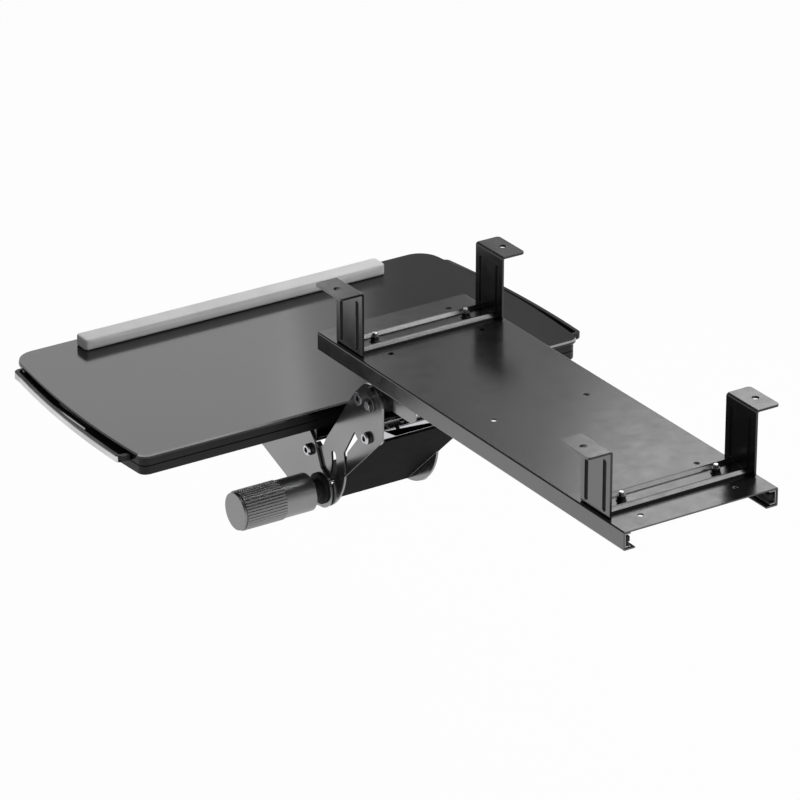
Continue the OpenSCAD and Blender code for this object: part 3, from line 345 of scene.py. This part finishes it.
def make_finishes(colours):
    """Every finish by the name that the pieces use."""
    coat, arm, zinc = tuple(colours.coat), tuple(colours.arm_coat), tuple(colours.zinc)
    board, mould = tuple(colours.board), tuple(colours.moulding)
    knob, rail = tuple(colours.knob), tuple(colours.rail)
    return {
        "coat": finish("Black powder coat", coat, rough=(0.2, 0.27),
                       grain=1500, depth=0.01 * MM, gloss=0.6),
        # The same black coat with a higher IOR, put on faces picked by their normal: a painted
        # sheen
        "sheen": finish("Coat with painted sheen", coat, rough=(0.2, 0.27),
                        grain=1500, depth=0.01 * MM, ior=2.2),
        # Near-black in the leg grooves: painted shade in the recesses
        "groove": finish("Groove shade", (0.002, 0.002, 0.002), rough=(0.4, 0.5),
                         grain=1500, depth=0.01 * MM, gloss=0.15),
        "edge": finish("Cut edge", (0.13, 0.13, 0.13), rough=(0.3, 0.4),
                       grain=1500, depth=0.01 * MM, metal=0.6),
        "slide": finish("Slide steel", (0.3, 0.3, 0.31), rough=(0.26, 0.34),
                        grain=900, depth=0.006 * MM, metal=1.0, brushed=(14, 1, 14)),
        "arm": finish("Satin arm coat", arm, rough=(0.16, 0.19),
                      grain=1800, depth=0.002 * MM, metal=0.9, drift=0.05),
        # Matt near-black on the arm's inner faces: painted shade between its cheeks
        "web": finish("Painted shade inside arm", (0.016, 0.016, 0.016), rough=(0.7, 0.75),
                      grain=1500, depth=0.004 * MM, gloss=0.02, drift=0.05),
        "zinc": finish("Zinc plate", zinc, rough=(0.2, 0.32),
                       grain=900, depth=0.006 * MM, metal=1.0, brushed=(1, 14, 14)),
        "dark": finish("Black oxide", (0.012, 0.012, 0.0125), rough=(0.28, 0.38),
                       grain=1600, depth=0.01 * MM, metal=0.2),
        "rubber": finish("Bumper rubber", (0.012, 0.012, 0.012), rough=(0.7, 0.85),
                         grain=1300, depth=0.06 * MM),
        "pale": finish("Pale nylon", (0.6, 0.59, 0.55), rough=(0.4, 0.5),
                       grain=1000, depth=0.03 * MM),
        "mould": finish("Black moulded plastic", mould, rough=(0.36, 0.46),
                        grain=1400, depth=0.03 * MM, ior=1.34),
        "knob": finish("Knob plastic", knob, rough=(0.33, 0.37),
                       grain=1700, depth=0.002 * MM, metal=0.9, drift=0.06),
        "knob_end": finish("Knob end", knob, rough=(0.36, 0.4),
                           grain=1700, depth=0.002 * MM, metal=0.95, drift=0.06),
        "board": finish("Semi-gloss board", board, rough=(0.13, 0.15),
                        grain=2200, depth=0.002 * MM, drift=0.08),
        # Bright metal on the black board's back chamfer: a painted highlight line
        "band": finish("Painted highlight on board's back edge", (0.38, 0.38, 0.385), rough=(0.24, 0.3),
                       grain=1500, depth=0.004 * MM, metal=1.0),
        # Light metal on the black rails' outer faces: a painted sheen
        "rail": finish("Rail coat with painted sheen", rail, rough=(0.3, 0.36),
                       grain=1500, depth=0.004 * MM, metal=0.9),
        "brass": finish("Brass", (0.62, 0.42, 0.16), rough=(0.22, 0.34),
                        grain=900, depth=0.01 * MM, metal=1.0),
    }


def make_pad_cover(colour):
    """Soft coated fabric: pebble grain, faint mottling and a dull sheen."""
    mottle_cells, rub_cells, pebble_cells, swell_cells = 30, 90, 1100, 260
    material = bpy.data.materials.new("Pad cover")
    material.use_nodes = True
    tree = material.node_tree
    shader = tree.nodes["Principled BSDF"]
    shader.inputs["Specular IOR Level"].default_value = 0.3
    shader.inputs["Sheen Weight"].default_value = 0.15
    shader.inputs["Sheen Roughness"].default_value = 0.5
    feed(tree, tint(tree, noise(tree, mottle_cells, 5), colour, 0.94, 1.06), shader, "Base Color")
    feed(tree, spread(tree, noise(tree, rub_cells, 3), 0.62, 0.75), shader, "Roughness")
    place = add(tree, "ShaderNodeTexCoord")
    pebble = add(tree, "ShaderNodeTexVoronoi", feature="SMOOTH_F1")
    pebble.inputs["Scale"].default_value = pebble_cells
    feed(tree, place.outputs["Object"], pebble, "Vector")
    grain = bump(tree, pebble.outputs["Distance"], 0.35, 0.12 * MM)
    feed(tree, bump(tree, noise(tree, swell_cells, 3), 0.3, 0.2 * MM, grain), shader, "Normal")
    return material


class TRAY_OT_finishes(bpy.types.Operator):
    """Make the finishes"""
    bl_idname = "tray.finishes"
    bl_label = "Finishes"

    def execute(self, context):
        colours = context.scene.tray_finish
        FINISH.update(make_finishes(colours))
        FINISH["pad"] = make_pad_cover(tuple(colours.pad))
        return {"FINISHED"}


# Track and hangers, with the places in mm of the faces that have a finish of their own

PLATE_SIDE_X = 104.5
PLATE_END_Y = 250
HANGER_Y = 254
GROOVE_Y = 17.25
GROOVE_HALF = 3.5
GROOVE_LOW, GROOVE_HIGH = -78, -12
BEADS_BELOW = -60
LEG_SIDE_X = 95
SQUARE = 0.9
HANGER_FOLDS = [("Y", 97, 0, 3.2), ("Y", 100, -82.5, 2.6), ("Y", 100, -3, 0.8)]


def plate_look(middle, normal):
    """1 on the track's cut ends, 2 on its outer sides, which get a painted sheen, 0 elsewhere."""
    if abs(normal.y) > SQUARE and abs(middle.y) > PLATE_END_Y:
        return 1
    return 2 if abs(normal.x) > SQUARE and abs(middle.x) > PLATE_SIDE_X else 0


def hanger_look(middle, normal):
    """1 in a leg's grooves, which get painted shade, 2 on the beads' slopes and the legs' outer
    sides, which get a painted sheen, 0 elsewhere.
    """
    off_groove = abs(abs(abs(middle.y) - HANGER_Y) - GROOVE_Y)
    at_groove = off_groove < GROOVE_HALF and GROOVE_LOW < middle.z < GROOVE_HIGH
    # faces in the grooves get painted shade
    if at_groove and 0.1 < abs(normal.x) < 0.998:
        return 1
    # bead slopes and the legs' outer sides get a painted sheen
    if middle.z < BEADS_BELOW and 0.4 < normal.z < 0.68:
        return 2
    return 2 if normal.x * middle.x > LEG_SIDE_X else 0


class TRAY_OT_track(bpy.types.Operator):
    """Build the track plate, the hangers and their bolts"""
    bl_idname = "tray.track"
    bl_label = "Track and hangers"

    def execute(self, context):
        sizes = context.scene.tray_sizes
        dress_node("track_plate", sizes.sheet_round, "coat edge sheen", pick=plate_look)
        for node in ("front_hanger", "rear_hanger"):
            dress_node(node, sizes.sheet_round, "coat groove sheen", HANGER_FOLDS,
                       pick=hanger_look)
        dress_nodes(sizes.small_round, hanger_nuts="dark", hanger_bolts="zinc")
        return {"FINISHED"}


# Slides and carriage

CAGE_ROUND = 0.1 * MM
BALL_ROUND = 0.05 * MM


class TRAY_OT_slides(bpy.types.Operator):
    """Build the ball slides and their bumpers"""
    bl_idname = "tray.slides"
    bl_label = "Slides"

    def execute(self, context):
        sizes = context.scene.tray_sizes
        dress_nodes(sizes.small_round, slide_outer_right="slide", slide_outer_left="slide",
                    slide_inner_right="slide", slide_inner_left="slide")
        dress_nodes(CAGE_ROUND, ball_cage_right="pale", ball_cage_left="pale")
        dress_nodes(sizes.mould_round, front_bumpers="rubber", rear_bumpers="rubber")
        dress_nodes(sizes.small_round, slide_rivets="zinc")
        dress_nodes(BALL_ROUND, slide_balls="zinc")
        return {"FINISHED"}


class TRAY_OT_carriage(bpy.types.Operator):
    """Build the carriage and the lift pivot"""
    bl_idname = "tray.carriage"
    bl_label = "Carriage"

    def execute(self, context):
        sizes = context.scene.tray_sizes
        dress_nodes(sizes.sheet_round, carriage_plate="coat", pivot_bracket="arm")
        dress_nodes(sizes.small_round, carriage_rivets="zinc", bracket_bolts="zinc",
                    pivot_shaft="zinc", pivot_clips="dark")
        return {"FINISHED"}


# Lift arm, tilt head and clamp

CHEEK_INSIDE_MM = 64.9


def inside_arm(middle, normal):
    """1 between the arm's two cheeks, which get painted shade, 0 on their outsides."""
    return int(abs(middle.x) < CHEEK_INSIDE_MM)


def on_side(middle, normal):
    """1 round the sides of a bolt's head, 0 on its face."""
    return int(abs(normal.x) < 0.3)


class TRAY_OT_arm(bpy.types.Operator):
    """Build the lift arm and what turns with it"""
    bl_idname = "tray.arm"
    bl_label = "Lift arm"

    def execute(self, context):
        sizes = context.scene.tray_sizes
        dress_node("lift_arm", sizes.sheet_round, "arm web", pick=inside_arm)
        dress_nodes(sizes.sheet_round, spring_plate="zinc")
        dress_nodes(sizes.small_round, pivot_bushings="pale", stop_tube="zinc",
                    stop_bolts="dark", spring_tube="dark")
        dress_node("arm_bolts", sizes.small_round, "zinc dark", pick=on_side)
        return {"FINISHED"}


class TRAY_OT_head(bpy.types.Operator):
    """Build the tilt bracket, its bolts and the mount frame"""
    bl_idname = "tray.head"
    bl_label = "Tilt head"

    def execute(self, context):
        sizes = context.scene.tray_sizes
        dress_nodes(sizes.sheet_round, tilt_bracket="arm", mount_frame="coat")
        dress_nodes(sizes.small_round, tilt_nuts="dark", tilt_washers="pale",
                    mount_screws="zinc", tray_screws="zinc")
        dress_node("tilt_bolts", sizes.small_round, "zinc dark", pick=on_side)
        return {"FINISHED"}


class TRAY_OT_clamp(bpy.types.Operator):
    """Build the clamp rod and its knob"""
    bl_idname = "tray.clamp"
    bl_label = "Clamp and knob"

    def execute(self, context):
        sizes = context.scene.tray_sizes
        dress_nodes(sizes.small_round, clamp_rod="zinc", clamp_nut="dark", clamp_washer="rubber",
                    knob_insert="brass", knob_grip="knob", knob_cap="knob_end")
        return {"FINISHED"}


# Lift springs

SPRING_TURNS = 6.75
STEPS_A_TURN = 40
WIRE_SIDES = 12
WIRE_END_ROUND = 0.3 * MM


def draw_out(bm, ring, reach):
    """Draws the wire's end ring out straight and returns the new ring."""
    edges = [e for e in ring if isinstance(e, bmesh.types.BMEdge)]
    drawn = bmesh.ops.extrude_edge_only(bm, edges=edges)["geom"]
    verts = [v for v in drawn if isinstance(v, bmesh.types.BMVert)]
    bmesh.ops.translate(bm, vec=reach, verts=verts)
    return [e for e in drawn if not isinstance(e, bmesh.types.BMFace)]


def wind(bm, ring, centre, pitch):
    """Winds a ring of wire about an axis along X and returns the last ring."""
    wound = bmesh.ops.spin(
        bm, geom=ring, cent=centre, axis=(1, 0, 0), dvec=(pitch / STEPS_A_TURN, 0, 0),
        angle=math.tau * SPRING_TURNS, steps=round(STEPS_A_TURN * SPRING_TURNS),
        use_merge=False, use_duplicate=False)
    return wound["geom_last"]


def spring_mesh(low, high, wire, radius, side):
    """A spring between two corners: a level leg, the coil, and a leg that stands up.

    side is 1 for the spring on the right and -1 for its mirror image.
    """
    pitch = (high.x - low.x - wire) / SPRING_TURNS
    centre = Vector((0, low.y + radius + wire / 2, low.z + radius + wire / 2))
    outer_x = high.x - wire / 2 if side > 0 else low.x + wire / 2
    start = Vector((outer_x, high.y, centre.z + radius))
    bm = bmesh.new()
    made = bmesh.ops.create_circle(
        bm, segments=WIRE_SIDES, radius=wire / 2, cap_ends=False,
        matrix=Matrix.Translation(start) @ Matrix.Rotation(math.pi / 2, 4, "X"))
    ring = made["verts"] + list(bm.edges)
    ring = draw_out(bm, ring, (0, centre.y - high.y, 0))
    ring = wind(bm, ring, centre, -side * pitch)
    draw_out(bm, ring, (0, 0, high.z - centre.z))
    ends = [e for e in bm.edges if e.is_boundary]
    bmesh.ops.holes_fill(bm, edges=ends, sides=WIRE_SIDES)
    bmesh.ops.recalc_face_normals(bm, faces=bm.faces)
    round_edges(bm, ends, WIRE_END_ROUND)
    return bm


class TRAY_OT_springs(bpy.types.Operator):
    """Wind the two lift springs"""
    bl_idname = "tray.springs"
    bl_label = "Lift springs"

    def execute(self, context):
        sizes = context.scene.tray_sizes
        for side, node in ((1, "lift_spring_right"), (-1, "lift_spring_left")):
            low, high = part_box(node)
            bm = spring_mesh(low, high, sizes.spring_wire, sizes.spring_radius, side)
            make_piece(bm, node + "_wound", node, "dark")
        return {"FINISHED"}


# Board, frame, base and rails

CHAMFER_DROP = 1.7 * MM
CHAMFER_WITHIN = 0.05 * MM
RAIL_SIDE_MM = 318


def back_chamfer(middle, normal):
    """1 on the chamfer at the back of the board's top, which gets a painted highlight, 0 elsewhere.
    """
    return int(0.2 < normal.z < 0.9 and normal.y > 0.3)


def outer_side(middle, normal):
    """0 on a rail's outer side, which gets a painted sheen, 1 on its top, gutter and ends."""
    outward = normal.x * math.copysign(1, middle.x)
    return int(outward < 0.7 or abs(middle.x) < RAIL_SIDE_MM)


def steepen(piece, height, drop):
    """Lowers the foot of the chamfer that ends at this height."""
    for vert in piece.data.vertices:
        if abs(vert.co.z - height) < CHAMFER_WITHIN:
            vert.co.z -= drop


class TRAY_OT_board(bpy.types.Operator):
    """Build the board, the frame, the ribbed base and the side rails"""
    bl_idname = "tray.board"
    bl_label = "Tray"

    def execute(self, context):
        sizes = context.scene.tray_sizes
        board = dress_node("tray_board", sizes.board_round, "board band", segments=1,
                           pick=back_chamfer)
        steepen(board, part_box("tray_board")[1].z - sizes.board_round, CHAMFER_DROP)
        dress_node("tray_frame", sizes.mould_round, "mould", segments=1)
        dress_node("tray_base", sizes.mould_round, "mould")
        for node in ("side_rail_right", "side_rail_left"):
            dress_node(node, sizes.rail_round, "rail mould", segments=1, pick=outer_side)
        return {"FINISHED"}


# Wrist pad

PAD_RIGHT = 3.5 * MM
PAD_VOXEL = 1.8 * MM
PAD_STUCK = 1 * MM
PAD_PRESSURE = 4
PAD_FRAMES = 20


def keep_shape(piece, context):
    """Makes the shape that the modifiers give the piece's own mesh."""
    shown = piece.evaluated_get(context.evaluated_depsgraph_get())
    mesh = bpy.data.meshes.new_from_object(shown)
    piece.modifiers.clear()
    piece.data = mesh


def fill_pad(piece, context, base, cap):
    """Blows the cover up as cloth from its stuck base, no further than the cap."""
    stuck = piece.vertex_groups.new(name="stuck")
    before = [v.co.copy() for v in piece.data.vertices]
    stuck.add([i for i, co in enumerate(before) if co.z < base + PAD_STUCK], 1, "REPLACE")
    cloth = piece.modifiers.new("filling", "CLOTH")
    cloth.settings.use_pressure = True
    cloth.settings.uniform_pressure_force = PAD_PRESSURE
    cloth.settings.effector_weights.gravity = 0
    cloth.settings.vertex_group_mass = "stuck"
    cloth.point_cache.frame_start = 1
    cloth.point_cache.frame_end = PAD_FRAMES
    for step in range(1, PAD_FRAMES + 1):
        context.scene.frame_set(step)
    keep_shape(piece, context)
    for vert, old in zip(piece.data.vertices, before):
        moved = vert.co - old
        if moved.length > cap:
            vert.co = old + moved * (cap / moved.length)
    context.scene.frame_set(1)


def pad_mesh(low, high, swell):
    """The pad's solid, longer at its right end and smaller all round by what it will swell."""
    bm = node_mesh("wrist_pad")
    bmesh.ops.recalc_face_normals(bm, faces=bm.faces)
    middle = (low + high) / 2
    half = (high - low) / 2
    for vert in bm.verts:
        vert.co.x += (vert.co.x - low.x) / (high.x - low.x) * PAD_RIGHT
        for axis in (0, 1):
            share = (vert.co[axis] - middle[axis]) / half[axis]
            vert.co[axis] -= share * swell
        vert.co.z -= (vert.co.z - low.z) / (high.z - low.z) * swell
    return bm


class TRAY_OT_pad(bpy.types.Operator):
    """Fill and cover the wrist pad"""
    bl_idname = "tray.pad"
    bl_label = "Wrist pad"

    def execute(self, context):
        swell = context.scene.tray_sizes.pad_swell
        low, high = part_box("wrist_pad")
        piece = make_piece(pad_mesh(low, high, swell), "wrist_pad_cover", "wrist_pad", "pad")
        piece.modifiers.clear()
        grid = piece.modifiers.new("grid", "REMESH")
        grid.mode = "VOXEL"
        grid.voxel_size = PAD_VOXEL
        keep_shape(piece, context)
        fill_pad(piece, context, low.z, swell)
        piece.data.shade_smooth()
        fine = piece.modifiers.new("fine", "SUBSURF")
        fine.levels = fine.render_levels = 1
        return {"FINISHED"}


# Stage

FLOOR_REACH = 15
FLOOR_WHITE = 0.97
HORIZON_Z, CEILING_Z = 0.1, 0.56
HORIZON_GLOW, CEILING_GLOW = 1.0, 0.1
SENSOR_MM = 36
VIEW_END = 60

# Each softbox: its name, its place, what it faces, its width, its height and its glow
LAMPS = (
    ("top", (-1.15, 0.45, 1.75), (0, -0.2, -0.15), 1.1, 1.1, 8),
    ("left", (-0.37, -2.17, 0.75), (0, -0.3, -0.15), 1.2, 0.8, 1.45),
    ("left fade", (-1.0, -2.084, 0.661), (0, -0.45, -0.2), 0.13, 0.7, 0.8),
    ("back", (-1.19, -0.98, 0.95), (0, 0, -0.1), 0.8, 0.6, 3.5),
    ("beads", (-1.18, 1.7, 1.13), (0, 0, -0.07), 1.0, 0.5, 3),
    ("back fade", (-1.175, -1.83, 0.915), (0, 0, -0.1), 0.12, 0.5, 0.8),
)


def make_lamp(name, place, target, width, height, glow):
    """A softbox that cameras don't see. Its glow is its face's brightness, where white is 1."""
    data = bpy.data.lights.new(name, "AREA")
    data.shape = "RECTANGLE"
    data.size, data.size_y = width, height
    data.energy = glow * math.pi * width * height
    lamp = bpy.data.objects.new(name, data)
    lamp.location = place
    lamp.rotation_euler = (Vector(target) - Vector(place)).to_track_quat("-Z", "Y").to_euler()
    lamp.visible_camera = False
    bpy.context.scene.collection.objects.link(lamp)


def white_to(tree, *rays):
    """1 for the kinds of ray that see the white surroundings, 0 for the others."""
    path = add(tree, "ShaderNodeLightPath")
    source = path.outputs[rays[0]]
    for ray in rays[1:]:
        either = add(tree, "ShaderNodeMath", operation="MAXIMUM")
        feed(tree, source, either, 0)
        feed(tree, path.outputs[ray], either, 1)
        source = either.outputs[0]
    return source


def mix_shaders(tree, share, first, second):
    """The second shader where the share is 1, and the first where it is 0."""
    mix = add(tree, "ShaderNodeMixShader")
    feed(tree, share, mix, "Fac")
    feed(tree, first, mix, 1)
    feed(tree, second, mix, 2)
    return mix.outputs[0]


def make_floor_white():
    """A pale matt floor that takes shadows, and shows white to eyes and mirrors."""
    material = bpy.data.materials.new("White floor")
    material.use_nodes = True
    tree = material.node_tree
    shader = tree.nodes["Principled BSDF"]
    shader.inputs["Base Color"].default_value = (0.8, 0.8, 0.8, 1)
    shader.inputs["Roughness"].default_value = 0.9
    shader.inputs["Specular IOR Level"].default_value = 0
    glow = add(tree, "ShaderNodeEmission")
    seen = white_to(tree, "Is Camera Ray", "Is Glossy Ray", "Is Transmission Ray")
    part = add(tree, "ShaderNodeMath", operation="MULTIPLY")
    part.inputs[1].default_value = FLOOR_WHITE
    feed(tree, seen, part, 0)
    shown = mix_shaders(tree, part.outputs[0], shader.outputs[0], glow.outputs[0])
    feed(tree, shown, tree.nodes["Material Output"], "Surface")
    return material


def make_floor(drop):
    bm = bmesh.new()
    bmesh.ops.create_grid(bm, x_segments=1, y_segments=1, size=FLOOR_REACH)
    bmesh.ops.translate(bm, verts=bm.verts, vec=(0, 0, -drop))
    mesh = bpy.data.meshes.new("floor")
    bm.to_mesh(mesh)
    bm.free()
    mesh.materials.append(make_floor_white())
    floor = bpy.data.objects.new("floor", mesh)
    bpy.context.scene.collection.objects.link(floor)


def make_world(level):
    """Soft even light, a white backdrop, and a darker ceiling for what shines."""
    world = bpy.data.worlds.new("Studio")
    world.use_nodes = True
    tree = world.node_tree
    dim = tree.nodes["Background"]
    dim.inputs["Color"].default_value = (1, 1, 1, 1)
    dim.inputs["Strength"].default_value = level
    place = add(tree, "ShaderNodeTexCoord")
    split = add(tree, "ShaderNodeSeparateXYZ")
    feed(tree, place.outputs["Generated"], split, "Vector")
    ceiling = add(tree, "ShaderNodeBackground")
    darker = spread(tree, split.outputs["Z"], HORIZON_GLOW, CEILING_GLOW, HORIZON_Z, CEILING_Z)
    feed(tree, darker, ceiling, "Strength")
    white = add(tree, "ShaderNodeBackground")
    mirrored = white_to(tree, "Is Glossy Ray")
    shining = mix_shaders(tree, mirrored, dim.outputs[0], ceiling.outputs[0])
    seen = white_to(tree, "Is Camera Ray", "Is Transmission Ray")
    shown = mix_shaders(tree, seen, shining, white.outputs[0])
    feed(tree, shown, tree.nodes["World Output"], "Surface")
    return world


def make_camera(place, back, lens):
    camera = bpy.data.cameras.new("camera")
    camera.lens = lens
    camera.sensor_width = SENSOR_MM
    camera.clip_end = VIEW_END
    holder = bpy.data.objects.new("camera", camera)
    holder.location = place
    holder.rotation_euler = Vector(back).to_track_quat("Z", "Y").to_euler()
    bpy.context.scene.collection.objects.link(holder)
    return holder


class TRAY_OT_stage(bpy.types.Operator):
    """Set the floor, the light and the camera"""
    bl_idname = "tray.stage"
    bl_label = "Stage"

    def execute(self, context):
        studio = context.scene.tray_studio
        make_floor(studio.floor_drop)
        context.scene.world = make_world(studio.fill_light)
        for row in LAMPS:
            make_lamp(*row)
        context.scene.camera = make_camera(studio.camera_place, studio.camera_back, studio.lens)
        context.scene.view_settings.view_transform = "Standard"
        return {"FINISHED"}


# Panel and registration

STEPS = (
    TRAY_OT_stage, TRAY_OT_finishes, TRAY_OT_track, TRAY_OT_slides, TRAY_OT_carriage,
    TRAY_OT_arm, TRAY_OT_springs, TRAY_OT_head, TRAY_OT_clamp, TRAY_OT_board, TRAY_OT_pad)
GROUPS = (("tray_finish", TrayFinish), ("tray_sizes", TraySizes), ("tray_studio", TrayStudio))


class TRAY_PT_steps(bpy.types.Panel):
    """Lists the steps of the tray, and its sizes and colours"""
    bl_idname = "TRAY_PT_steps"
    bl_label = "Keyboard tray"
    bl_space_type = "VIEW_3D"
    bl_region_type = "UI"
    bl_category = "Tray"

    def draw(self, context):
        for step in STEPS:
            self.layout.operator(step.bl_idname)
        for key, _ in GROUPS:
            group = getattr(context.scene, key)
            box = self.layout.box()
            for name in group.bl_rna.properties.keys():
                if name not in ("rna_type", "name"):
                    box.prop(group, name)


def register():
    for key, group in GROUPS:
        bpy.utils.register_class(group)
        setattr(bpy.types.Scene, key, bpy.props.PointerProperty(type=group))
    for step in STEPS:
        bpy.utils.register_class(step)
    bpy.utils.register_class(TRAY_PT_steps)


def unregister():
    bpy.utils.unregister_class(TRAY_PT_steps)
    for step in reversed(STEPS):
        bpy.utils.unregister_class(step)
    for key, group in reversed(GROUPS):
        delattr(bpy.types.Scene, key)
        bpy.utils.unregister_class(group)


def main():
    register()
    for step in STEPS:
        _, name = step.bl_idname.split(".")
        getattr(bpy.ops.tray, name)()


if __name__ == "__main__":
    main()
